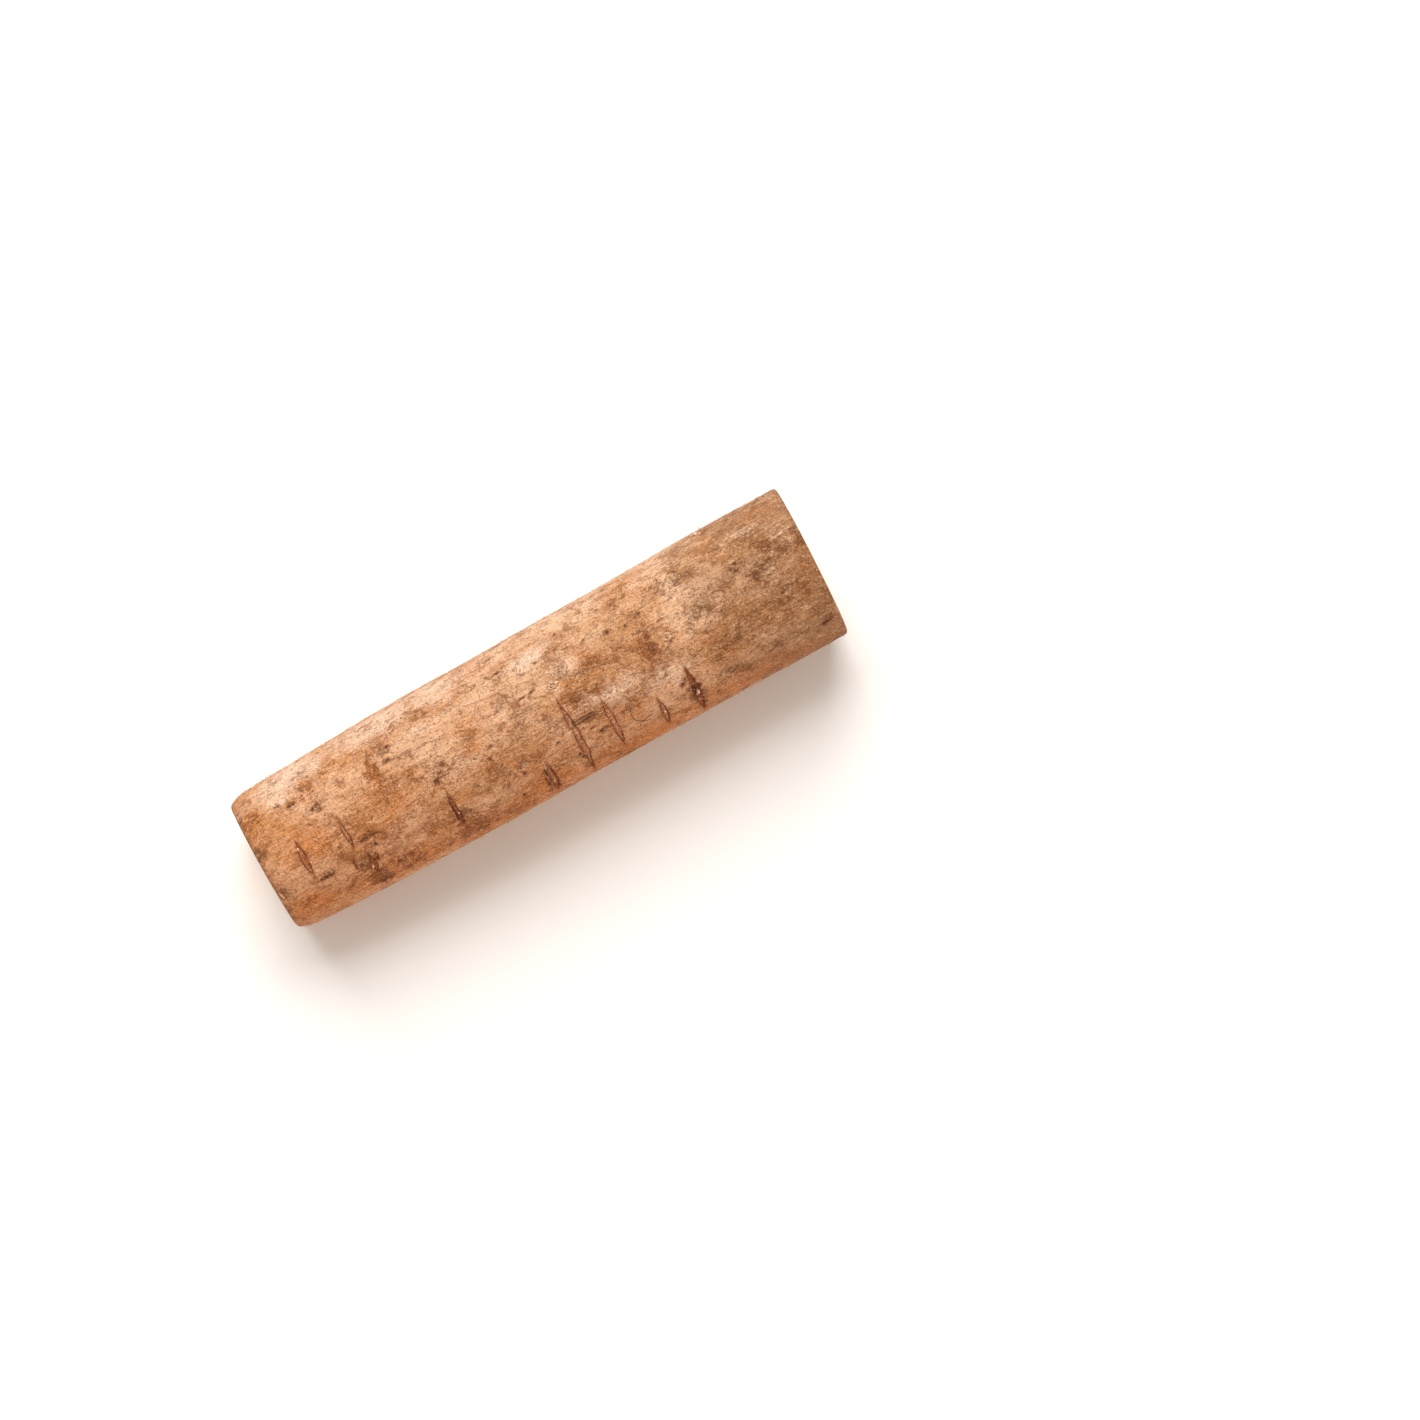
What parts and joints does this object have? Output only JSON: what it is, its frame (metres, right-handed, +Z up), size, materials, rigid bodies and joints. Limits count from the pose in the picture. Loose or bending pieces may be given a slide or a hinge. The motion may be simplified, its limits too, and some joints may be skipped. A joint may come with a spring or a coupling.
{
  "type": "cut length of burdock root",
  "caption": "Cut length of burdock root lying flat: a slightly tapered round root with slit, earthy bark and two cut ends with a ringed core.",
  "frame": {"origin": "on the ground under the middle of the root's box", "axes": "+X along the root towards its thick end, +Z up, -Y towards the side with the measured slits"},
  "size_m": [0.112, 0.029, 0.0284],
  "materials": {
    "bark": "dry, matt, fibrous bark; the cut ends are pale cream flesh"
  },
  "bodies": {
    "root": {"burdock_root": "bark"}
  },
  "joints": []
}
